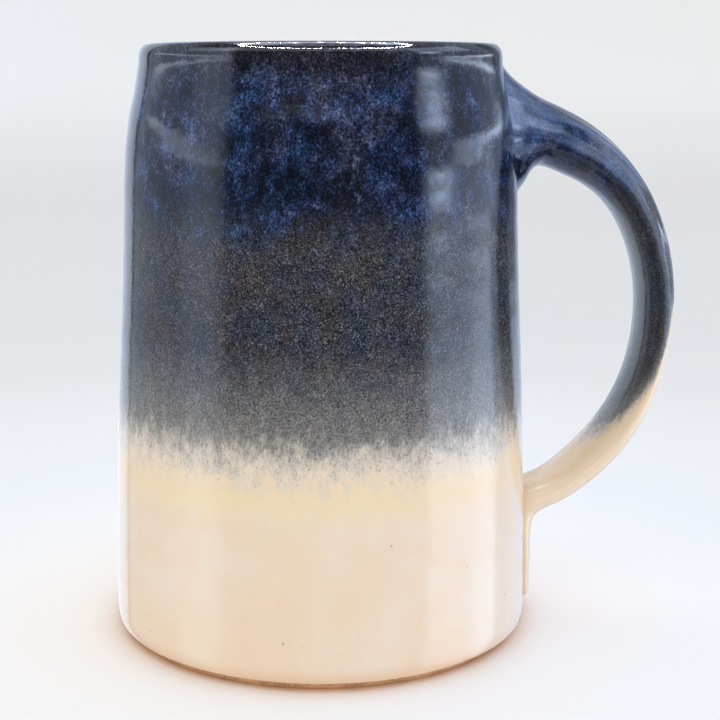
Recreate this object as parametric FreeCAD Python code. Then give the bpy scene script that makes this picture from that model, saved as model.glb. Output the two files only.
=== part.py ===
import FreeCAD, Part
import math
import os

# Wheel-thrown stoneware beer stein with a pulled strap handle, in millimetres.
# Origin: centre of the foot, on the table. +Z up, handle toward +X, symmetric about the XZ plane.
# The outer wall and the handle are given as finished glazed surfaces, with the clay one COAT under
# them. The bore is given as the clay's surface, and its glaze stands one LINER inside it.

COAT = 0.6                # fired glaze on the outside of body and handle
LINER = 0.5               # fired glaze inside

# Outer wall of the finished stein as (radius, height), foot to just under the lip.
WALL = [(50.4, 5.0), (49.9, 31.0), (48.45, 65.0), (46.75, 99.0), (44.7, 123.0), (42.4, 135.4)]
LIP_CREST = (40.6, 139.1)
SHOULDER_BULGE = (0.45, 0.75)   # how far the lip's outer roll stands beyond its chord
TOE_BULGE = (1.75, 1.5)         # the same for the bottom edge, from where it leaves the table

# Clay bore, from the inside of the lip down to the start of the floor's curve.
LIP_INSIDE = (38.7, 136.2)
ROLL_BULGE = (-0.35, 0.55)
BORE = [(39.9, 124.0), (41.6, 100.0), (43.0, 62.0), (43.6, 20.0)]
FLOOR_Z = 7.6             # top of the glazed floor
FLOOR_CURVE = 9.0         # radius where the bore turns into the floor

FOOT_OUTER_R = 47.5       # outer edge of the ring that stands on the table
FOOT_INNER_R = 40.0
FOOT_RECESS = 1.8         # trimmed hollow inside the foot ring
FOOT_RECESS_EDGE = 1.6    # how far its rounded edge reaches inward
FOOT_RECESS_BEND = (0.3, 0.6)   # that edge's middle: inward in mm, and up as a share of the recess
BARE_FOOT = 2.0           # height of unglazed clay above the table

BLUE_FROM_Z = 100.0       # the blue coat covers the wall above this
GREY_FROM_Z = 48.0        # the grey coat lies between this and the blue
BLUE_INSIDE_Z = 124.0     # how far down the bore the blue runs

# Handle stations down its length, for the finished strap:
# (x, z, thickness, width) with the centre of the section at x, z.
STRAP = [
    (37.0, 117.2, 15.6, 23.0),
    (45.6, 117.2, 15.6, 23.0),
    (54.0, 116.9, 15.2, 22.8),
    (60.0, 115.2, 13.9, 22.0),
    (66.4, 111.8, 12.5, 21.4),
    (73.0, 105.8, 10.8, 21.0),
    (78.8, 96.0, 9.2, 21.0),
    (82.2, 84.0, 8.0, 21.0),
    (82.7, 70.5, 7.3, 21.0),
    (79.9, 57.3, 6.9, 21.0),
    (73.6, 45.0, 7.8, 20.6),
    (64.4, 35.4, 7.8, 20.0),
    (56.9, 30.5, 7.5, 19.4),
    (49.4, 26.1, 7.0, 18.8),
    (42.0, 21.8, 6.4, 18.0),
]

# The tail smeared down the wall under the lower joint, as (x, z, thickness, width), top to bottom.
TAIL = [
    (50.6, 29.0, 5.4, 18.6),
    (50.7, 18.0, 5.4, 17.6),
    (50.7, 7.6, 5.2, 16.8),
    (50.4, 2.9, 4.2, 12.4),
]

# The coil of clay blended round the strap's root, as (x, z, height, width) of upright sections.
ROOT = [
    (39.0, 117.0, 43.0, 33.0),
    (44.6, 117.0, 31.4, 28.6),
    (48.0, 117.0, 21.4, 25.8),
    (52.0, 117.3, 16.8, 23.8),
    (58.0, 116.2, 12.6, 21.0),
]
SECTION_POWER = 2.5       # 2 is an ellipse, more is squarer
SECTION_POINTS = 12
LOWER_SLIP = 1.2          # depth of the slip layer behind the lower end and tail
JOINT_SPLIT_Z = 70.0      # between the two joints

# On the handle the cream coat climbs higher along its outer edge: a tilted boundary (x, z) to (x, z).
HANDLE_BLUE_FROM_Z = 97.0
HANDLE_CREAM_LINE = ((68.0, 43.0), (88.0, 62.0))

BIG = 400.0               # side of the boxes that cut bands out
ABOVE_LIP = 160.0         # a height clear of the whole stein
BELOW_FOOT = -20.0        # a height clear below it


def point(x, z, y=0.0):
    return FreeCAD.Vector(x, y, z)


def curve(outline):
    """A smooth curve through (radius, height) points."""
    spline = Part.BSplineCurve()
    spline.interpolate([point(r, z) for r, z in outline])
    return spline.toShape()


def line(a, b):
    return Part.LineSegment(point(*a), point(*b)).toShape()


def arc(a, middle, b):
    return Part.Arc(point(*a), point(*middle), point(*b)).toShape()


def turned(edges):
    """The solid made by spinning a closed outline about the stein's axis."""
    face = Part.Face(Part.Wire(edges))
    solid = face.revolve(point(0, 0), FreeCAD.Vector(0, 0, 1), 360)
    solid.rotate(point(0, 0), FreeCAD.Vector(0, 0, 1), 180)
    return solid


def beyond_chord(a, b, bulge):
    """The middle of a chord, moved by bulge."""
    return ((a[0] + b[0]) / 2 + bulge[0], (a[1] + b[1]) / 2 + bulge[1])


def outer_form(inset):
    """The stein as a solid plug, its outside moved in by inset."""
    wall = [(r - inset, z) for r, z in WALL]
    crest = (LIP_CREST[0], LIP_CREST[1] - inset)
    end = wall[-1]
    shoulder = beyond_chord(end, crest, SHOULDER_BULGE)
    toe = (FOOT_OUTER_R + COAT - inset, 0.0)
    heel = (toe[0] + TOE_BULGE[0], TOE_BULGE[1])
    return turned([
        line((0, 0), toe),
        arc(toe, heel, wall[0]),
        curve(wall),
        arc(end, shoulder, crest),
        line(crest, (0, crest[1])),
        line((0, crest[1]), (0, 0)),
    ])


def bore_form(inset):
    """The hollow of the stein, its walls moved inwards by inset, open above the lip."""
    bore = [(r - inset, z) for r, z in BORE]
    floor = FLOOR_Z - LINER + inset
    turn = (bore[-1][0], floor + FLOOR_CURVE)
    flat = (bore[-1][0] - FLOOR_CURVE, floor)
    knee = FLOOR_CURVE * (1 - math.sqrt(0.5))
    lip = (LIP_INSIDE[0] - inset, LIP_INSIDE[1])
    crest = (LIP_CREST[0], LIP_CREST[1] - COAT + inset)
    roll = beyond_chord(lip, crest, ROLL_BULGE)
    top = ABOVE_LIP
    edges = [
        line((0, floor), flat),
        arc(flat, (turn[0] - knee, floor + knee), turn),
        line(turn, bore[-1]),
        curve([lip] + bore),
        arc(lip, roll, crest),
        line(crest, (crest[0], top)),
        line((crest[0], top), (0, top)),
        line((0, top), (0, floor)),
    ]
    return turned(edges)


def foot_recess():
    """The shallow trimmed hollow under the base."""
    rim = (FOOT_INNER_R, 0.0)
    edge = (FOOT_INNER_R - FOOT_RECESS_EDGE, FOOT_RECESS)
    bend = (FOOT_INNER_R - FOOT_RECESS_BEND[0], FOOT_RECESS * FOOT_RECESS_BEND[1])
    return turned([
        line((0, 0), rim),
        arc(rim, bend, edge),
        line(edge, (0, FOOT_RECESS)),
        line((0, FOOT_RECESS), (0, 0)),
    ])


def strap_section(centre, across, thickness, width):
    """A closed rounded section: across is the direction of its thickness, Y of its width."""
    points = []
    for i in range(SECTION_POINTS):
        turn = 2 * math.pi * i / SECTION_POINTS
        c = math.cos(turn)
        s = math.sin(turn)
        u = math.copysign(abs(c) ** (2 / SECTION_POWER), c) * thickness / 2
        v = math.copysign(abs(s) ** (2 / SECTION_POWER), s) * width / 2
        points.append(centre + across * u + FreeCAD.Vector(0, v, 0))
    ring = Part.BSplineCurve()
    ring.interpolate(Points=points, PeriodicFlag=True)
    return Part.Wire(ring.toShape())


def strap(inset):
    """The handle from inside the wall at the top to inside the wall below, moved in by inset."""
    spine = Part.BSplineCurve()
    centres = [point(x, z) for x, z, thickness, width in STRAP]
    spine.interpolate(centres)
    sections = []
    for centre, (x, z, thickness, width) in zip(centres, STRAP):
        heading = spine.tangent(spine.parameter(centre))[0]
        across = FreeCAD.Vector(heading.z, 0, -heading.x)
        sections.append(strap_section(centre, across, thickness - 2 * inset, width - 2 * inset))
    return Part.makeLoft(sections, True, False, False, 3)


def root(inset):
    """The flare at the upper joint, strap and wall included, moved in by inset."""
    out = FreeCAD.Vector(0, 0, 1)
    sections = [
        strap_section(point(x, z), out, height - 2 * inset, width - 2 * inset)
        for x, z, height, width in ROOT
    ]
    return Part.makeLoft(sections, True, False, False, 3)


def tail(inset):
    """The smeared tail, its lower end rounded, moved in by inset."""
    out = FreeCAD.Vector(1, 0, 0)
    last = TAIL[-1][1]
    sections = []
    for x, z, thickness, width in TAIL:
        height = z + inset if z == last else z
        sections.append(strap_section(point(x, height), out, thickness - 2 * inset, width - 2 * inset))
    return Part.makeLoft(sections, True, False, False, 3)


def slab(low, high):
    """Everything between two heights."""
    return Part.makeBox(BIG, BIG, high - low, FreeCAD.Vector(-BIG / 2, -BIG / 2, low))


def above_line(a, b):
    """Everything on the upper, inner side of a line in the XZ plane."""
    tilt = math.atan2(b[1] - a[1], b[0] - a[0])
    box = Part.makeBox(BIG, BIG, BIG, FreeCAD.Vector(-BIG / 2, -BIG / 2, 0))
    box.rotate(FreeCAD.Vector(0, 0, 0), FreeCAD.Vector(0, 1, 0), -math.degrees(tilt))
    box.translate(point(*a))
    return box


def write(name, shape):
    """One STEP file for one piece; loose crumbs from the cuts are left out."""
    piece = max(shape.Solids, key=lambda solid: solid.Volume)
    piece.exportStep("parts/" + name + ".step")
    print(name, round(piece.Volume, 1), "mm3", "valid" if piece.isValid() else "INVALID")


def main():
    os.makedirs("parts", exist_ok=True)
    clay_plug = outer_form(COAT)
    coat_plug = outer_form(0.0)
    clay_bore = bore_form(0.0)
    liner_bore = bore_form(LINER)
    thrown_body = clay_plug.cut(clay_bore).cut(foot_recess())
    write("thrown_body", thrown_body)

    strap_form = strap(COAT)
    tail_form = tail(COAT)
    root_form = root(COAT)
    strap_coat = strap(0.0)
    tail_coat = tail(0.0)
    root_coat = root(0.0)
    strap_clay = strap_form.fuse(tail_form).cut(clay_plug)
    lower_slip = strap_clay.common(outer_form(COAT - LOWER_SLIP)).common(slab(BELOW_FOOT, JOINT_SPLIT_Z))
    write("upper_slip_joint", root_form.cut(clay_plug).cut(strap_form))
    write("lower_slip_joint", lower_slip)
    write("pulled_handle", strap_clay.cut(lower_slip))

    def body_band(low, high):
        band = coat_plug.common(slab(low, high)).cut(clay_plug)
        return band.cut(strap_coat).cut(root_coat).cut(tail_coat)

    def liner_band(low, high):
        return clay_bore.common(slab(low, high)).cut(liner_bore)

    blue_outside = body_band(BLUE_FROM_Z, ABOVE_LIP).cut(clay_bore)
    write("body_glaze_blue", blue_outside.fuse(liner_band(BLUE_INSIDE_Z, ABOVE_LIP)))
    write("body_glaze_grey", body_band(GREY_FROM_Z, BLUE_FROM_Z))
    write("body_glaze_cream", body_band(BARE_FOOT, GREY_FROM_Z))
    write("liner_glaze", liner_band(0, BLUE_INSIDE_Z))

    above_cream = above_line(*HANDLE_CREAM_LINE)
    blue = slab(HANDLE_BLUE_FROM_Z, ABOVE_LIP)

    def handle_band(zone):
        return zone.cut(root_form).cut(strap_form).cut(tail_form).cut(clay_plug)

    write("handle_glaze_blue", handle_band(strap_coat.fuse(root_coat).common(blue)))
    write("handle_glaze_grey", handle_band(strap_coat.common(above_cream).cut(blue)))
    write("handle_glaze_cream", handle_band(strap_coat.fuse(tail_coat).cut(above_cream)))


main()
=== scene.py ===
import math
import bmesh
import bpy
import numpy as np
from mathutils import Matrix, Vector, noise


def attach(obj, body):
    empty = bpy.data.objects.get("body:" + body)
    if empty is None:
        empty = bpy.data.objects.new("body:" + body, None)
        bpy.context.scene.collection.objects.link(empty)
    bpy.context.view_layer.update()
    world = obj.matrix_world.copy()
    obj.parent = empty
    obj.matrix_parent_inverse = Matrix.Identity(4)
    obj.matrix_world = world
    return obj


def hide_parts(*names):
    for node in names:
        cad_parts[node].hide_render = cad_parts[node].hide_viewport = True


# Beer stein in wheel-thrown stoneware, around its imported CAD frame. Lengths are millimetres until a
# mesh is made, when MM turns them into metres. The handle is toward +X, the foot stands on z = 0.

MM = 0.001
COAT = 0.6                # glaze on the outside
LINER = 0.5               # glaze inside

# Finished outer wall as (radius, height), then over the lip and down the bore.
WALL = [(50.4, 5.0), (49.9, 31.0), (48.45, 65.0), (46.75, 99.0), (44.7, 123.0), (42.4, 135.4)]
LIP = [(41.95, 137.75), (40.5, 139.05), (38.85, 138.2), (38.2, 136.2)]
BORE = [(39.4, 124.0), (41.1, 100.0), (42.5, 62.0), (43.1, 20.0)]
FLOOR_Z = 7.6
FLOOR_CURVE = 9.0
BARE_FOOT = 2.0           # height of unglazed clay above the table
GREY_FROM_Z = 48.0
BLUE_FROM_Z = 100.0
BLUE_INSIDE_Z = 124.0
HANDLE_BLUE_FROM_Z = 97.0
HANDLE_GREY_FROM_Z = 52.0
LIP_FROM_Z = 132.0        # rows are closer together above this
LIP_TOP = 139.09          # just under the CAD's lip
HALVES_MEET_Z = 139.04    # where the blue coat's outside joins its inside

SEGMENTS = 384            # round the stein
ROW_STEP = 1.1            # along its profile
RING_POINTS = 128         # round the handle
RING_STEP = 0.9           # along the handle

# Handle stations down its length: centre (x, z), thickness, width.
STRAP = [
    (54.0, 117.8, 15.4, 23.0), (60.0, 115.6, 13.9, 22.0), (66.4, 111.8, 12.5, 21.4),
    (73.0, 105.8, 10.8, 21.0), (78.8, 96.0, 9.2, 21.0), (82.2, 84.0, 8.0, 21.0),
    (82.64, 70.5, 7.3, 21.0), (79.9, 57.3, 6.9, 21.0), (73.6, 45.0, 7.8, 20.6),
    (64.4, 35.4, 7.8, 20.0), (56.9, 30.5, 7.5, 19.4),
]
# The flare at the upper joint: distance beyond the wall, height of its centre, the direction its
# outer face looks, its height, its width.
FLARE = [
    (-0.7, 119.3, 90.0, 34.4, 31.6), (0.1, 119.3, 90.0, 31.6, 30.4), (0.9, 119.3, 90.0, 29.0, 29.4),
    (2.0, 119.0, 88.0, 26.0, 28.2), (4.2, 118.8, 84.0, 20.4, 26.2), (6.4, 118.2, 79.0, 17.0, 24.4),
]
# The lower end, fanned round into the tail: outer point (x, z), direction it faces, thickness, width.
FAN = [
    (55.1, 25.5, -57.0, 8.0, 18.9), (53.5, 24.2, -33.0, 8.0, 18.6), (52.9, 22.4, -8.0, 6.4, 18.2),
    (52.7, 18.0, 0.0, 5.2, 17.6), (52.7, 12.5, 0.0, 4.8, 17.2), (52.7, 7.2, 0.0, 4.6, 16.2),
    (52.5, 4.3, 0.0, 4.0, 14.2), (52.0, 3.2, 0.0, 2.9, 10.5),
]
OUTER_POWER = 2.35        # how square the section is outside and inside; 2 is an ellipse
INNER_POWER = 2.0
GABLE = 3.4               # how far the flare's outer edges fall below its crest at the wall
GABLE_FADE = 7.0          # the distance along the handle in which that falls to about a third
GABLE_ROOT = 0.6          # how far below its middle the flare starts to droop, in half heights
GABLE_SPAN = 1.18         # how far above that its edges lie, in half heights
EDGE = 0.88               # where the rounded edges of a section lie, in half widths
NICK_AT = (1.4, -9.0)     # the tool mark's middle: along the handle, and from the section's centre
NICK_SIZE = (1.1, 2.4)
NICK_DEPTH = 1.5
UPPER_SLIP_RINGS = 7      # how many of the handle's rings, from the wall, are slip and not strap
LOWER_SLIP_RINGS = 33     # the same at its lower end


def smooth(points, step):
    """Samples, about a step apart, of the natural cubic curve through points of any number of columns."""
    p = np.asarray(points, float)
    last = len(p) - 1
    knots = np.concatenate([[0], np.cumsum(np.linalg.norm(np.diff(p[:, :2], axis=0), axis=1))])
    gap = np.diff(knots)
    system = np.eye(last + 1)
    bend = np.zeros_like(p)
    for i in range(1, last):
        system[i, i - 1:i + 2] = gap[i - 1], 2 * (gap[i - 1] + gap[i]), gap[i]
        bend[i] = 6 * ((p[i + 1] - p[i]) / gap[i] - (p[i] - p[i - 1]) / gap[i - 1])
    bend = np.linalg.solve(system, bend)
    along = np.linspace(0, knots[-1], int(knots[-1] / step) + 2)
    i = np.clip(np.searchsorted(knots, along, side="right") - 1, 0, last - 1)
    u = (along - knots[i])[:, None]
    w = gap[i][:, None]
    slope = (p[i + 1] - p[i]) / w - w * (2 * bend[i] + bend[i + 1]) / 6
    return p[i] + u * slope + u ** 2 * bend[i] / 2 + u ** 3 * (bend[i + 1] - bend[i]) / (6 * w)


def offset(path, depth):
    """An outline moved to its left-hand side by depth, which is into the clay."""
    heading = np.gradient(path, axis=0)
    heading /= np.linalg.norm(heading, axis=1)[:, None]
    return path + depth * np.stack([-heading[:, 1], heading[:, 0]], axis=1)


def cut(path, low, high):
    """The part of an outline between two heights, with its ends exactly on them."""
    z = path[:, 1]
    order = 1 if z[-1] > z[0] else -1
    inside = path[(z > low + 0.05) & (z < high - 0.05)]
    ends = [(np.interp(h, z[::order], path[::order, 0]), h) for h in (low, high)]
    return np.vstack([ends[::order][0], inside, ends[::order][1]])


def wall_radius(z):
    return np.interp(z, OUTSIDE[:, 1], OUTSIDE[:, 0])


PROFILE = smooth(WALL + LIP + BORE, ROW_STEP / 3)
CREST = int(np.argmax(PROFILE[:, 1]))
PROFILE[:, 1] = np.minimum(PROFILE[:, 1], LIP_TOP)
OUTSIDE = PROFILE[:CREST + 1]
INSIDE = PROFILE[CREST:]


def thin_out(path, fine_above):
    """Every row near the lip, and every third one lower down."""
    keep = [i for i in range(len(path)) if i % 3 == 0 or path[i, 1] > fine_above or i == len(path) - 1]
    return path[keep]


def hand_wobble(points):
    """How far a point of the turned wall lies inside its true radius: throwing rings and a soft lean."""
    x, y, z = points.T
    turn = np.arctan2(y, x)
    rings = 0.5 - 0.5 * np.cos(2 * math.pi * (z / 8.5) + turn)
    soft = np.array([noise.noise(Vector((a, b, c)) / 34.0) for a, b, c in points])
    return 0.05 * rings + 0.16 * (0.5 + soft)


def spun(path):
    """Rings of an outline turned about the axis, with the marks of throwing."""
    turns = np.arange(SEGMENTS) * 2 * math.pi / SEGMENTS
    rings = []
    for r, z in path:
        ring = np.stack([r * np.cos(turns), r * np.sin(turns), np.full(SEGMENTS, z)], axis=1)
        if r > 1:
            ring[:, :2] *= (1 - hand_wobble(ring) / r)[:, None]
        rings.append(ring)
    return rings


def mesh_piece(name, rings, levels, ridges, wrap):
    """A closed skin over a run of rings. A run that doesn't wrap ends in a point at each end."""
    verts = []
    faces = []
    n = len(rings[0])
    for ring in rings:
        verts.extend(ring)
    count = len(rings)
    for i in range(count if wrap else count - 1):
        a = i * n
        b = ((i + 1) % count) * n
        for j in range(n):
            k = (j + 1) % n
            faces.append((a + j, a + k, b + k, b + j))
    levels = list(np.concatenate(levels))
    ridges = list(np.concatenate(ridges))
    if not wrap:
        for start, order in ((0, 1), ((count - 1) * n, -1)):
            tip = len(verts)
            verts.append(np.mean(verts[start:start + n], axis=0))
            levels.append(levels[start])
            ridges.append(0.0)
            for j in range(n):
                k = (j + 1) % n
                faces.append((start + k, start + j, tip)[::order])
    mesh = bpy.data.meshes.new(name)
    mesh.from_pydata([Vector(v) * MM for v in verts], [], faces)
    solid = bmesh.new()
    solid.from_mesh(mesh)
    bmesh.ops.recalc_face_normals(solid, faces=solid.faces)
    solid.to_mesh(mesh)
    solid.free()
    for label, values in (("level", levels), ("ridge", ridges)):
        mesh.attributes.new(label, "FLOAT", "POINT").data.foreach_set("value", np.array(values, np.float32))
    mesh.shade_smooth()
    mesh.set_sharp_from_angle(angle=math.radians(55.0))
    piece = bpy.data.objects.new(name, mesh)
    bpy.context.scene.collection.objects.link(piece)
    return piece


def body_levels(rings):
    """A point's glaze level is its height; inside, the bands crowd into the top 30 mm of the bore."""
    levels = []
    for ring in rings:
        z = ring[:, 2]
        inside = np.hypot(ring[:, 0], ring[:, 1]) < wall_radius(z) - 3.0
        within = np.interp(z, [0, 106, 118, 127, 139], [15, 34, 56, 106, 139])
        levels.append(np.where(inside, within, z))
    return levels


def coat(name, path, depth):
    """One band of glaze on the turned wall: its face, then its back against the clay."""
    back = offset(path, depth)[::-1]
    rings = spun(np.vstack([path, back]))
    return mesh_piece(name, rings, body_levels(rings), np.zeros((len(rings), SEGMENTS)), True)


def body_coats():
    """The blue, grey and cream coats outside, and the cream liner."""
    outside = thin_out(OUTSIDE, LIP_FROM_Z)
    inside = thin_out(INSIDE, LIP_FROM_Z)
    blue = np.vstack([cut(outside, BLUE_FROM_Z, HALVES_MEET_Z), cut(inside, BLUE_INSIDE_Z, HALVES_MEET_Z)])
    grey = cut(outside, GREY_FROM_Z, BLUE_FROM_Z)
    toe = [(49.6, 0.0), (49.98, 0.12), (50.12, 0.6), (50.3, 1.5)]
    toe = [(r, BARE_FOOT + z) for r, z in toe]
    cream = np.vstack([toe, cut(outside, 5.0, GREY_FROM_Z)])
    lower = cut(inside, FLOOR_Z + FLOOR_CURVE + 4, BLUE_INSIDE_Z)
    side = lower[-1, 0] + 0.05
    knee = []
    for b in np.radians(np.arange(0, 91, 10)):
        knee.append((side - FLOOR_CURVE * (1 - math.cos(b)), FLOOR_Z + FLOOR_CURVE * (1 - math.sin(b))))
    floor = [(r, FLOOR_Z) for r in np.linspace(knee[-1][0], 0.6, 24)[1:]]
    face = np.vstack([lower, knee, floor])
    back = offset(face, LINER)[::-1]
    back[:, 0] = np.maximum(back[:, 0], 0.5)
    rings = spun(np.vstack([face, back]))
    rings = rings[len(face) - 1::-1] + rings[:len(face) - 1:-1]
    no_ridges = np.zeros((len(rings), SEGMENTS))
    liner = mesh_piece("liner_glaze_coat", rings, body_levels(rings), no_ridges, False)
    bands = (("blue_glaze_coat", blue), ("grey_glaze_coat", grey), ("cream_glaze_coat", cream))
    return *[coat(name, path, COAT) for name, path in bands], liner


def step(value, low, high):
    """0 below low, 1 above high, and smooth between."""
    t = np.clip((value - low) / (high - low), 0, 1)
    return t * t * (3 - 2 * t)


def handle_stations():
    """Rows of centre x and z, direction the outer face looks, thickness, width, distance from the wall."""
    centres = smooth([row[:2] for row in STRAP], RING_STEP)
    heading = np.gradient(centres, axis=0)
    rows = []
    for d, z, facing, height, width in FLARE:
        rows.append((wall_radius(z) + d, z, math.radians(facing), height, width, d))
    for x, z, thickness, width in STRAP:
        near = np.argmin(np.hypot(centres[:, 0] - x, centres[:, 1] - z))
        along = heading[near]
        rows.append((x, z, math.atan2(along[0], -along[1]), thickness, width, x - wall_radius(z)))
    for x, z, facing, thickness, width in FAN:
        out = math.radians(facing)
        inner = (x - math.cos(out) * thickness / 2, z - math.sin(out) * thickness / 2)
        rows.append((*inner, out, thickness, width, 0.0))
    return smooth(rows, RING_STEP)


def finger_marks(across, wide, strength):
    """Ridges and grooves left along the strap by pulling. across is 1 on its outer face, -1 inside."""
    q = np.abs(wide)
    middle = np.exp(-(q / 0.2) ** 2)
    edges = np.exp(-((q - EDGE) / 0.13) ** 2)
    grooves = np.exp(-((q - 0.45) / 0.24) ** 2)
    outer = 0.9 * middle + 0.7 * edges - grooves
    flank = 0.8 * np.exp(-(across / 0.22) ** 2) - 0.9 * np.exp(-((np.abs(across) - 0.5) / 0.22) ** 2)
    on_outer = step(across, 0.55, 0.9)
    on_flank = step(q, 0.75, 0.97)
    return strength * (outer * on_outer + flank * on_flank * (1 - on_outer))


def gabled(u, wide, half, travelled):
    """The flare's crest stays up while its two outer edges droop, as slip is smoothed down from it."""
    low = -GABLE_ROOT * half
    droop = GABLE * math.exp(-travelled / GABLE_FADE) * (np.abs(wide) / EDGE) ** 1.5
    share = np.clip(droop / (GABLE_SPAN * half), 0, 0.85)
    return np.where(u > low, low + (u - low) * (1 - share), u)


def nick(u, wide, travelled):
    """How deep the tool mark is, under the near edge of the upper joint."""
    along = math.exp(-((travelled - NICK_AT[0]) / NICK_SIZE[0]) ** 2)
    place = along * np.exp(-((u - NICK_AT[1]) / NICK_SIZE[1]) ** 2)
    return NICK_DEPTH * place * step(-wide, 0.6, 0.95)


def handle_ring(station, travelled, inset):
    """One closed section of the handle, its glaze level and its ridge value."""
    x, z, out, thickness, width, beyond = station
    turn = np.arange(RING_POINTS) * 2 * math.pi / RING_POINTS
    c, s = np.cos(turn), np.sin(turn)
    power = np.where(c > 0, OUTER_POWER, INNER_POWER)
    across = np.sign(c) * np.abs(c) ** (2 / power)
    wide = np.sign(s) * np.abs(s) ** (2 / power)
    strength = step(travelled, 2, 20) * (1 - 0.6 * step(travelled, 40, 130))
    strength = strength * (1 - step(travelled, 150, 175))
    marks = finger_marks(across, wide, strength)
    lift = 0.34 * (marks - 0.9 * strength * step(across, 0.0, 0.6))
    u = gabled(across * (thickness / 2 - inset) + lift * across, wide, thickness / 2, travelled)
    dent = nick(u, wide, travelled)
    v = wide * (width / 2 - inset) + lift * wide + dent
    ring = np.stack([x + u * math.cos(out), v, z + u * math.sin(out)], axis=1)
    if travelled < 20:
        cling = 1 - step(beyond, 0.5, 8.0)
        hugging = np.sqrt(np.maximum(wall_radius(ring[:, 2]) ** 2 - ring[:, 1] ** 2, 1)) + beyond - inset
        ring[:, 0] = ring[:, 0] * (1 - cling) + hugging * cling
    smoothed = 0.6 * math.exp(-(travelled / 10) ** 2) * step(across, -0.3, 0.3)
    shoulder = 0.7 * strength * step(across, 0.15, 0.5) * step(np.abs(wide), 0.5, 0.8)
    # The ridge value falls by the dent, so that the tool mark is painted dark: painted shade in it.
    return ring, handle_level(ring[:, 2], across), marks + smoothed + shoulder - 1.5 * dent


def handle_level(z, across):
    """The height on the wall that has the same glaze: on the handle the cream climbs the outer face."""
    tilt = (4 + 18 * across + 12 * np.maximum(across, 0)) * (1 - step(z, 66, 112))
    return np.interp(z - tilt, [0, 50, 59, 67, 101, 116, 140], [0, 38, 54.5, 72, 97, 114, 139])


def handle_rings(inset):
    stations = handle_stations()
    gaps = np.linalg.norm(np.diff(stations[:, :2], axis=0), axis=1)
    travelled = np.concatenate([[0], np.cumsum(gaps)])
    return [handle_ring(row, far, inset) for row, far in zip(stations, travelled)]


def handle_coats():
    """Three bands of glaze on the handle, and the pulled clay strap under them."""
    face = handle_rings(0.0)
    back = handle_rings(COAT)[:-1]      # a ring short, so that the coat closes under the tail too
    middle = [np.mean(ring[:, 2]) for ring, level, marks in face]
    blue_end = next(i for i, z in enumerate(middle) if z < HANDLE_BLUE_FROM_Z)
    grey_end = next(i for i, z in enumerate(middle) if z < HANDLE_GREY_FROM_Z)
    bands = []
    for name, first, last in (("blue", 0, blue_end), ("grey", blue_end, grey_end)):
        run = face[first:last + 1] + back[first:last + 1][::-1]
        bands.append(mesh_piece(f"handle_{name}_coat", *zip(*run), True))
    run = face[grey_end:][::-1] + back[grey_end:]
    bands.append(mesh_piece("handle_cream_coat", *zip(*run), False))
    upper = UPPER_SLIP_RINGS
    lower = len(back) - LOWER_SLIP_RINGS
    clay = [
        mesh_piece("upper_slip_clay", *zip(*back[:upper + 1]), False),
        mesh_piece("handle_clay_strap", *zip(*back[upper:lower + 1]), False),
        mesh_piece("lower_slip_clay", *zip(*back[lower:]), False),
    ]
    return bands, clay


def linear(*srgb):
    """A colour given as 0 to 255 screen values."""
    parts = [v / 255 for v in srgb]
    return (*[v / 12.92 if v < 0.04045 else ((v + 0.055) / 1.055) ** 2.4 for v in parts], 1.0)


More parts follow.
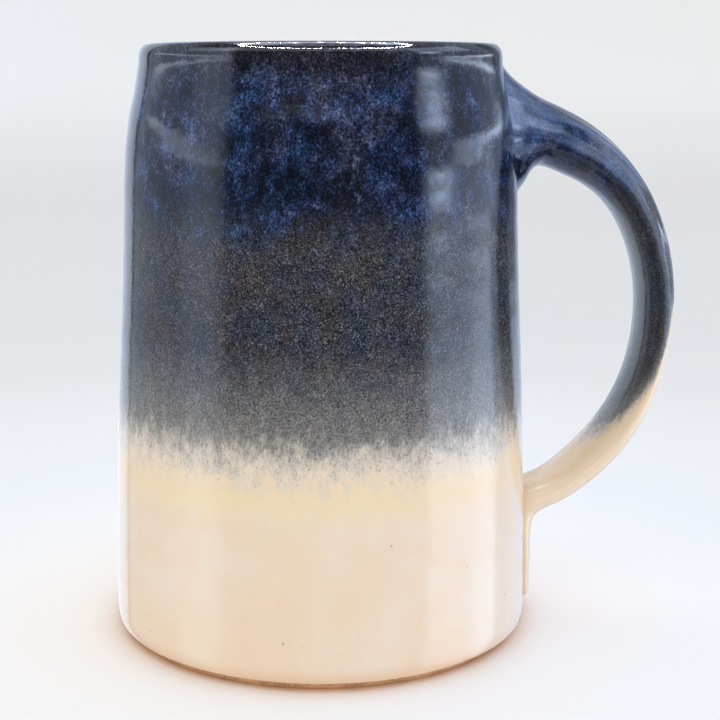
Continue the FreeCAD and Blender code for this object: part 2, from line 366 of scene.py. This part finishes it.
class Paint:
    """One material, built from nodes in the piece's own millimetres."""

    def __init__(self, name):
        self.material = bpy.data.materials.new(name)
        self.material.use_nodes = True
        self.tree = self.material.node_tree
        self.tree.nodes.clear()
        spot = self.add("TexCoord", output="Object")
        self.place = self.add("VectorMath", {0: spot, "Scale": 1 / MM}, operation="SCALE")

    def add(self, kind, inputs=None, output=0, **settings):
        node = self.tree.nodes.new("ShaderNode" + kind)
        for key, value in settings.items():
            setattr(node, key, value)
        for key, value in (inputs or {}).items():
            if isinstance(value, bpy.types.NodeSocket):
                self.tree.links.new(value, node.inputs[key])
            else:
                node.inputs[key].default_value = value
        return node.outputs[output]

    def math(self, operation, a, b=0.0):
        return self.add("Math", {0: a, 1: b}, operation=operation)

    def stretched(self, x, y, z):
        return self.add("VectorMath", {0: self.place, 1: (x, y, z)}, operation="MULTIPLY")

    def noise(self, per_mm, detail=2.0, upright=1.0, roughness=0.5):
        """Values about 0.5. upright under 1 draws the pattern out up and down."""
        where = self.stretched(per_mm, per_mm, per_mm * upright)
        inputs = {"Vector": where, "Scale": 1.0, "Detail": detail, "Roughness": roughness}
        return self.add("TexNoise", inputs)

    def step(self, value, low, high):
        inputs = {"Value": value, "From Min": low, "From Max": high}
        return self.add("MapRange", inputs, interpolation_type="SMOOTHSTEP")

    def mix(self, share, a, b):
        return self.add("Mix", {0: share, 6: a, 7: b}, output=2, data_type="RGBA")

    def multiply(self, share, a, b):
        return self.add("Mix", {0: share, 6: a, 7: b}, output=2, data_type="RGBA", blend_type="MULTIPLY")

    def ramp(self, value, stops):
        """Colours, as screen values, at places along value."""
        low, high = stops[0][0], stops[-1][0]
        inside = self.add("MapRange", {"Value": value, "From Min": low, "From Max": high})
        out = self.add("ValToRGB", {0: inside})
        elements = out.node.color_ramp.elements
        while len(elements) < len(stops):
            elements.new(0.5)
        for element, (at, colour) in zip(elements, stops):
            element.position = (at - low) / (high - low)
            element.color = linear(*colour)
        return out

    def blend(self, *parts):
        """A weighted sum of (value, weight) pairs."""
        total = None
        for value, weight in parts:
            share = self.math("MULTIPLY", value, weight)
            total = share if total is None else self.math("ADD", total, share)
        return total

    def finish(self, colour, roughness, height, relief, **constants):
        """The shader itself; relief is the bump's height in millimetres."""
        bump = self.add("Bump", {"Height": height, "Strength": 1.0, "Distance": relief * MM})
        shader = self.add("BsdfPrincipled", {"Base Color": colour, "Roughness": roughness, "Normal": bump})
        for key, value in constants.items():
            shader.node.inputs[key.replace("_", " ")].default_value = value
        out = self.tree.nodes.new("ShaderNodeOutputMaterial")
        self.tree.links.new(shader, out.inputs["Surface"])
        return self.material


def blue_colour(p, curd, hue, grain, level):
    """Floating blue: fine pale flecks on a nearly black ground that drifts from brown through to teal."""
    colour = p.ramp(curd, [
        (0.37, (10, 11, 16)), (0.45, (19, 24, 38)), (0.505, (32, 42, 66)),
        (0.56, (56, 72, 104)), (0.62, (94, 112, 146)), (0.70, (142, 156, 180)),
    ])
    tint = p.ramp(hue, [
        (0.38, (255, 216, 198)), (0.46, (246, 226, 234)), (0.54, (216, 234, 255)), (0.62, (190, 236, 255)),
    ])
    colour = p.multiply(0.9, colour, tint)
    rim = p.step(level, 128.0, 138.0)
    brown = p.ramp(curd, [(0.40, (20, 17, 17)), (0.50, (42, 38, 41)), (0.64, (92, 88, 94))])
    colour = p.mix(p.math("MULTIPLY", rim, 0.75), colour, brown)
    dusk = p.ramp(grain, [(0.34, (150, 150, 160)), (0.5, (235, 235, 238)), (0.6, (255, 255, 255))])
    return p.multiply(0.7, colour, dusk)


def grey_colour(p, salt, clump):
    """Slate: a salt and pepper speckle with bluish and brownish patches."""
    colour = p.ramp(salt, [
        (0.36, (16, 16, 20)), (0.45, (38, 38, 43)), (0.51, (60, 61, 67)),
        (0.58, (86, 87, 94)), (0.66, (132, 134, 140)),
    ])
    tint = p.ramp(clump, [(0.35, (255, 240, 218)), (0.5, (252, 251, 252)), (0.65, (222, 234, 255))])
    return p.multiply(0.8, colour, tint)


def cream_colour(p, clump, level):
    """Warm white, peach where it lies thick, with a painted warm bounce glow at the foot, and a few iron
    specks and pinholes.
    """
    cloud = p.noise(0.035, 2.0)
    colour = p.ramp(p.blend((cloud, 0.7), (clump, 0.3)), [
        (0.40, (240, 214, 185)), (0.50, (240, 217, 190)), (0.60, (239, 221, 198)),
    ])
    # Painted warm bounce glow: the cream is tinted peach near the foot.
    colour = p.mix(p.math("MULTIPLY", p.step(level, 6.0, 1.5), 0.6), colour, linear(232, 190, 150))
    cells = p.add("TexVoronoi", {"Vector": p.stretched(0.17, 0.17, 0.14), "Scale": 1.0})
    pick = p.add("SeparateColor", {0: cells.node.outputs["Color"]})
    iron = p.math("MULTIPLY", p.step(cells, 0.06, 0.02), p.step(pick, 0.50, 0.62))
    colour = p.mix(p.math("MULTIPLY", iron, 0.6), colour, linear(110, 82, 60))
    holes = p.add("TexVoronoi", {"Vector": p.stretched(0.31, 0.31, 0.2), "Scale": 1.0})
    return p.mix(p.math("MULTIPLY", p.step(holes, 0.09, 0.04), 0.25), colour, linear(196, 176, 158))


def feather_colour(p, level, grey, cream, clump, mottle, fine, salt, grit):
    """Where the slate breaks over the cream: speckled, drawn a little downward, with a butter line below."""
    hair = p.noise(1.9, 3.0, 0.4, 0.65)
    strand = p.noise(0.5, 3.0, 0.45)
    warped = p.blend((level, 1.0), (hair, 10.0), (grit, 8.0), (strand, 9.0), (mottle, 6.0), (clump, 6.0))
    warped = p.math("SUBTRACT", warped, 19.5)
    colour = p.ramp(warped, [
        (34.0, (240, 217, 190)), (40.0, (242, 219, 183)), (44.0, (242, 218, 180)), (47.5, (232, 214, 190)),
        (51.5, (210, 199, 183)), (54.5, (172, 165, 155)), (58.0, (122, 119, 115)), (66.0, (100, 99, 100)),
    ])
    pepper = p.math("MULTIPLY", p.step(salt, 0.50, 0.40), p.step(warped, 46.0, 60.0))
    colour = p.mix(p.math("MULTIPLY", pepper, 0.75), colour, linear(44, 44, 47))
    grain = p.math("MULTIPLY", p.step(salt, 0.53, 0.62), p.step(warped, 50.0, 60.0))
    colour = p.mix(p.math("MULTIPLY", grain, 0.6), colour, linear(168, 167, 164))
    between = p.math("MULTIPLY", p.step(warped, 46.0, 50.0), p.step(warped, 60.0, 54.0))
    rust = p.math("MULTIPLY", p.step(fine, 0.40, 0.34), between)
    colour = p.mix(p.math("MULTIPLY", rust, 0.55), colour, linear(104, 90, 70))
    above = p.step(warped, 62.0, 77.0)
    below = p.step(warped, 42.0, 35.0)
    return p.mix(below, p.mix(above, colour, grey), cream)


def glaze(name, flecks, pale):
    """The three glazes and the way they meet, chosen by each point's level.

    flecks is how boldly they break and pale how far they are lightened overall, which is painted light.
    """
    p = Paint(name)
    level = p.add("Attribute", output="Fac", attribute_name="level")
    ridge = p.add("Attribute", output="Fac", attribute_name="ridge")
    clump = p.noise(0.17, 3.0, 0.8)
    hue = p.noise(0.12, 4.0, 0.9, 0.6)
    mottle = p.noise(0.5, 3.0, 0.8)
    fine = p.noise(2.2, 3.0, 0.8, 0.6)
    grit = p.noise(3.4, 1.0)
    # Painted light: pale lifts the curd and salt here and the cream below, so the whole piece is lighter.
    even = 0.5 * (1 - flecks) + pale
    curd = p.blend((clump, 0.28 * flecks), (mottle, 0.26 * flecks), (fine, 0.46 * flecks), (ridge, 0.07))
    curd = p.math("ADD", curd, even)
    salt = p.blend((grit, 0.55 * flecks), (fine, 0.30 * flecks), (mottle, 0.15 * flecks), (ridge, 0.03))
    salt = p.math("ADD", salt, even)
    blue = blue_colour(p, curd, hue, grit, level)
    grey = grey_colour(p, salt, clump)
    cream = p.mix(9 * pale, cream_colour(p, clump, level), linear(252, 236, 204))
    lower = feather_colour(p, level, grey, cream, clump, mottle, fine, salt, grit)
    edge = p.blend((level, 1.0), (clump, 10.0), (mottle, 7.0), (fine, 7.0), (grit, 5.0))
    colour = p.mix(p.step(edge, 109.0, 122.0), lower, blue)
    thin = p.math("MULTIPLY", p.step(ridge, 0.25, 0.9), p.step(level, 50.0, 70.0))
    colour = p.mix(p.math("MULTIPLY", thin, 0.4), colour, linear(132, 148, 172))
    # Darker where the ridge value is low: along the grooves, and as painted shade in the tool mark under the
    # upper joint.
    groove_dark_and_nick_shade = p.math("MULTIPLY", p.step(ridge, -0.1, -0.8), p.step(level, 50.0, 70.0))
    colour = p.mix(p.math("MULTIPLY", groove_dark_and_nick_shade, 0.4), colour, linear(16, 22, 40))
    spread = {"Value": fine, "From Min": 0.3, "From Max": 0.7, "To Min": 0.08, "To Max": 0.15}
    glossier = p.math("MULTIPLY", p.step(level, 132.0, 136.0), 0.6)
    roughness = p.math("MULTIPLY", p.add("MapRange", spread), p.math("SUBTRACT", 1.0, glossier))
    height = p.blend((p.noise(0.28, 1.0), 1.0), (fine, 0.12), (grit, 0.05))
    return p.finish(colour, roughness, height, 0.05)


def clay(name):
    """Bare fired stoneware: warm, dry and gritty."""
    p = Paint(name)
    sand = p.noise(2.6, 3.0)
    drift = p.noise(0.12, 3.0)
    colour = p.ramp(p.blend((sand, 0.6), (drift, 0.4)), [
        (0.38, (150, 102, 64)), (0.50, (198, 148, 102)), (0.62, (220, 178, 132)),
    ])
    roughness = p.add("MapRange", {"Value": sand, "To Min": 0.75, "To Max": 0.95})
    return p.finish(colour, roughness, sand, 0.12)


def paper(name):
    """The pale sweep that the stein stands on, with painted light: a painted warm bounce glow at its foot,
    then white, and painted fall-off of light, greyer far off and up the wall.
    """
    p = Paint(name)
    fibre = p.noise(0.05, 4.0)
    x, y, z = p.add("SeparateXYZ", {0: p.place}).node.outputs
    reach = p.math("SQRT", p.math("ADD", p.math("MULTIPLY", x, x), p.math("MULTIPLY", y, y)))
    reach = p.blend((reach, 1.0), (fibre, 4.0))
    # Painted light on the paper: a painted warm bounce glow round the foot, brightest near the stein, and
    # greyer further off as painted fall-off.
    colour = p.ramp(reach, [
        (49.0, (242, 204, 166)), (52.0, (243, 231, 219)), (57.0, (245, 243, 240)), (90.0, (241, 240, 238)),
        (140.0, (230, 231, 231)), (230.0, (224, 222, 219)), (300.0, (216, 214, 210)),
        (420.0, (210, 208, 204)), (900.0, (208, 205, 200)),
    ])
    # Up the wall the paper is painted a little greyer, as painted shade.
    colour = p.mix(p.step(z, 0.0, 130.0), colour, linear(223, 222, 218))
    return p.finish(colour, 0.75, fibre, 0.02)


def finish_pieces(bands, clays, blue, grey, cream, liner):
    """Each coat or clay piece stands for its node, which it hides, and gets its material."""
    stands_for = [
        (blue, "cobalt_glaze", ["body_glaze_blue"]), (grey, "slate_glaze", ["body_glaze_grey"]),
        (cream, "cream_glaze", ["body_glaze_cream"]), (liner, "cream_liner_glaze", ["liner_glaze"]),
        (bands[0], "cobalt_glaze", ["handle_glaze_blue"]), (bands[1], "slate_glaze", ["handle_glaze_grey"]),
        (bands[2], "cream_glaze", ["handle_glaze_cream"]),
    ]
    joints = ("upper_slip_joint", "pulled_handle", "lower_slip_joint")
    stands_for += [(piece, "bare_stoneware", [node]) for piece, node in zip(clays, joints)]
    skin = glaze("fired_glaze", 1.0, 0.0)
    # The handle gets a lightened copy of the glaze: painted light, lifting the strap out of its shade.
    strap_skin = glaze("handle_glaze", 0.62, 0.035)
    bare = clay("bare_clay")
    for piece, slot, nodes in stands_for:
        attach(piece, "root")
        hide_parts(*nodes)
        piece.data.materials.append(bare if piece in clays else strap_skin if piece in bands else skin)
    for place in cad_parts["thrown_body"].material_slots:
        place.material = bare


def sweep():
    """A round floor that curves up, far off, into a pale wall."""
    path = [(0.0, 0.0), (300.0, 0.0), (900.0, 0.0)]
    path += [(900 + 500 * math.sin(a), 500 - 500 * math.cos(a)) for a in np.radians(np.arange(10, 91, 10))]
    path += [(1400.0, 2200.0)]
    count = 96
    turns = np.arange(count) * 2 * math.pi / count
    verts = [Vector((r * math.cos(t), r * math.sin(t), z)) * MM for r, z in path for t in turns]
    faces = []
    for i in range(len(path) - 1):
        for j in range(count):
            k = (j + 1) % count
            faces.append((i * count + j, i * count + k, (i + 1) * count + k, (i + 1) * count + j))
    mesh = bpy.data.meshes.new("sweep")
    mesh.from_pydata(verts, [], faces)
    mesh.shade_smooth()
    floor = bpy.data.objects.new("sweep", mesh)
    bpy.context.scene.collection.objects.link(floor)
    floor.data.materials.append(paper("paper_painted_light"))
    floor.visible_glossy = False
    floor.visible_diffuse = False
    floor.visible_shadow = False


def bounce_card():
    """A pale card under the sweep, which only throws light back up."""
    size = 500 * MM
    mesh = bpy.data.meshes.new("bounce_card")
    corners = [(-size, -size, -MM), (size, -size, -MM), (size, size, -MM), (-size, size, -MM)]
    mesh.from_pydata(corners, [], [(0, 1, 2, 3)])
    card = bpy.data.objects.new("bounce_card", mesh)
    bpy.context.scene.collection.objects.link(card)
    card.data.materials.append(bpy.data.materials["paper_painted_light"])
    card.visible_camera = False
    card.visible_glossy = False


# Soft boxes seen in the gloss, as (from, to, low, high, soft edge, brightness, slope): degrees from the
# camera's side toward its right, degrees above the horizon, and how many degrees the box climbs for
# each degree to the right. Brightness is added to the tent's own, TENT, and is negative for a dark card.
TENT = 0.66
BOXES = [
    (-200.0, 200.0, 62.0, 120.0, 1.0, 0.9, 0.0),
    (-200.0, -62.0, 60.0, 86.0, 3.0, 4.5, 0.0),
    (62.0, 200.0, 60.0, 86.0, 3.0, 4.5, 0.0),
    (-110.0, 80.0, 42.0, 60.0, 3.0, -0.5, 0.0),
    (-76.0, 60.0, 24.0, 44.0, 5.0, 1.3, 0.0),
    (-62.0, 55.0, -70.0, 40.0, 4.5, -0.58, 0.0),
    (55.0, 106.0, -35.0, -4.0, 3.0, 1.1, 0.0),
    (55.0, 106.0, -13.0, -4.0, 3.0, 0.5, 0.0),
    (55.0, 106.0, 19.0, 40.0, 3.0, 1.8, 0.0),
    (86.0, 104.0, -35.0, -4.0, 5.0, 0.6, 0.0),
    (58.0, 73.0, 11.5, 19.0, 8.0, 3.2, 0.0),
    (61.0, 68.0, 14.4, 16.8, 8.0, 8.0, 0.0),
    (58.0, 73.0, -2.5, 3.8, 8.0, 3.2, 0.0),
    (61.0, 68.0, -0.6, 2.2, 8.0, 8.0, 0.0),
    (73.0, 112.0, -4.0, 3.0, 4.0, 0.9, 0.0),
    (76.0, 128.0, 4.7, 5.9, 8.0, 6.0, 0.0),
    (-128.0, -66.0, 7.4, 8.6, 8.0, 3.6, -0.02),
    (128.0, 146.0, -7.0, 30.0, 4.0, -0.45, 0.0),
    (120.0, 200.0, -35.0, -8.0, 5.0, 0.25, 0.0),
    (-100.0, -64.0, 21.0, 36.0, 5.0, 1.3, 0.0),
    (-88.0, -64.0, -35.0, 40.0, 8.0, 0.6, 0.0),
    (-142.5, -140.0, -35.0, 45.0, 0.8, -1.1, 0.0),
    (-200.0, -142.0, -35.0, 40.0, 3.0, 0.5, 0.0),
]
EDGE_RISE = 1.6           # how softly a box ends above and below, in degrees


def tent():
    """The light: reflections see a tent with panels, and all else an even light, cooler on the right."""
    world = bpy.data.worlds.new("tent")
    bpy.context.scene.world = world
    world.use_nodes = True
    tree = world.node_tree
    tree.nodes.clear()

    def add(kind, inputs, output=0, **settings):
        node = tree.nodes.new("ShaderNode" + kind)
        for key, value in settings.items():
            setattr(node, key, value)
        for key, value in inputs.items():
            if isinstance(value, bpy.types.NodeSocket):
                tree.links.new(value, node.inputs[key])
            else:
                node.inputs[key].default_value = value
        return node.outputs[output]

    def math_node(operation, a, b=0.0):
        return add("Math", {0: a, 1: b}, operation=operation)

    def rise(value, edge, soft):
        inputs = {"Value": value, "From Min": edge - soft, "From Max": edge + soft}
        return add("MapRange", inputs, interpolation_type="SMOOTHSTEP")

    way = add("TexCoord", {}, output="Generated")
    x, y, z = add("SeparateXYZ", {0: way}).node.outputs
    azimuth = math_node("DEGREES", math_node("ARCTAN2", x, math_node("MULTIPLY", y, -1.0)))
    height = math_node("DEGREES", math_node("ARCSINE", z))
    total = math_node("ADD", 0.0, TENT)
    for start, end, low, high, soft, bright, slope in BOXES:
        before = math_node("SUBTRACT", 1.0, rise(azimuth, end, soft))
        inside = math_node("MULTIPLY", rise(azimuth, start, soft), before)
        climb = math_node("MULTIPLY", math_node("SUBTRACT", azimuth, start), slope)
        above = math_node("SUBTRACT", height, climb)
        under = math_node("SUBTRACT", 1.0, rise(above, high, EDGE_RISE))
        level = math_node("MULTIPLY", rise(above, low, EDGE_RISE), under)
        total = math_node("ADD", total, math_node("MULTIPLY", math_node("MULTIPLY", inside, level), bright))
    before = math_node("SUBTRACT", 1.0, rise(azimuth, 150.0, 8.0))
    cool = math_node("MULTIPLY", rise(azimuth, 54.0, 6.0), before)
    tints = {0: cool, 6: (0.86, 0.98, 1.19, 1), 7: (0.80, 0.97, 1.26, 1)}
    tint = add("Mix", tints, output=2, data_type="RGBA")
    gloss = add("Background", {"Color": tint, "Strength": math_node("MAXIMUM", total, 0.02)})
    plain = math_node("ADD", 1.13, math_node("MULTIPLY", x, 0.11))
    cooler = {0: math_node("MAXIMUM", x, 0.0), 1: (-0.10, 0.04, 0.38), 2: plain}
    even = add("Background", {"Color": add("VectorMath", cooler, operation="MULTIPLY_ADD")})
    rays = add("LightPath", {}).node.outputs
    shown = add("MixShader", {0: rays["Is Glossy Ray"], 1: even, 2: gloss})
    out = tree.nodes.new("ShaderNodeOutputWorld")
    tree.links.new(shown, out.inputs["Surface"])


def lamp_row(*lit):
    """A loop of small lamps over the stein, which sparkle along its lip and light only the pieces in lit."""
    count = 62
    across, deep, forward, up, size = 335.0, 275.0, 225.0, 560.0, 6.5
    verts = []
    faces = []
    for i in range(count):
        t = 2 * math.pi * (i + 0.5) / count
        x = across * math.copysign(abs(math.cos(t)) ** 0.8, math.cos(t))
        y = deep * math.copysign(abs(math.sin(t)) ** 0.8, math.sin(t)) - forward
        reach = size * (0.8 + 0.6 * noise.noise(Vector((i * 1.7, 0.3, 0.9))))
        corners = [(-reach, -reach), (-reach, reach), (reach, reach), (reach, -reach)]
        faces.append(tuple(range(len(verts), len(verts) + 4)))
        verts.extend(Vector((x + a, y + b, up)) * MM for a, b in corners)
    mesh = bpy.data.meshes.new("lamp_row")
    mesh.from_pydata(verts, [], faces)
    lamps = bpy.data.objects.new("lamp_row", mesh)
    bpy.context.scene.collection.objects.link(lamps)
    glow = bpy.data.materials.new("lamp_glow")
    glow.use_nodes = True
    shader = glow.node_tree.nodes["Principled BSDF"]
    shader.inputs["Emission Color"].default_value = linear(255, 255, 255)
    shader.inputs["Emission Strength"].default_value = 1100.0
    mesh.materials.append(glow)
    lamps.visible_camera = False
    lamps.visible_diffuse = False
    near_lip = bpy.data.collections.new("near_lip")
    for piece in lit:
        near_lip.objects.link(piece)
    lamps.light_linking.receiver_collection = near_lip


def camera():
    """The eye stands in front, a little below the rim, and looks down at the stein."""
    data = bpy.data.cameras.new("eye")
    data.lens = 71.1
    data.shift_x = 0.0554
    eye = bpy.data.objects.new("eye", data)
    eye.location = Vector((-35.5, -337.4, 133.0)) * MM
    eye.rotation_euler = (math.radians(90.0 - 11.5), 0.0, math.radians(-6.0))
    bpy.context.scene.collection.objects.link(eye)
    bpy.context.scene.camera = eye


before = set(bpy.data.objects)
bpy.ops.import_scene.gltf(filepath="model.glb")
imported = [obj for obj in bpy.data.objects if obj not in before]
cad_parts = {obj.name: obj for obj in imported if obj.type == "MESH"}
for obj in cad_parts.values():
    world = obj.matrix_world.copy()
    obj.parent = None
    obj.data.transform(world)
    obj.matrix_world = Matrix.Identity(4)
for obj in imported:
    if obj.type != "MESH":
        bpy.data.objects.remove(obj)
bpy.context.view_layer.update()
camera()
coats = body_coats()
finish_pieces(*handle_coats(), *coats)
sweep()
bounce_card()
lamp_row(coats[0])
tent()
bpy.context.scene.view_settings.view_transform = "Standard"
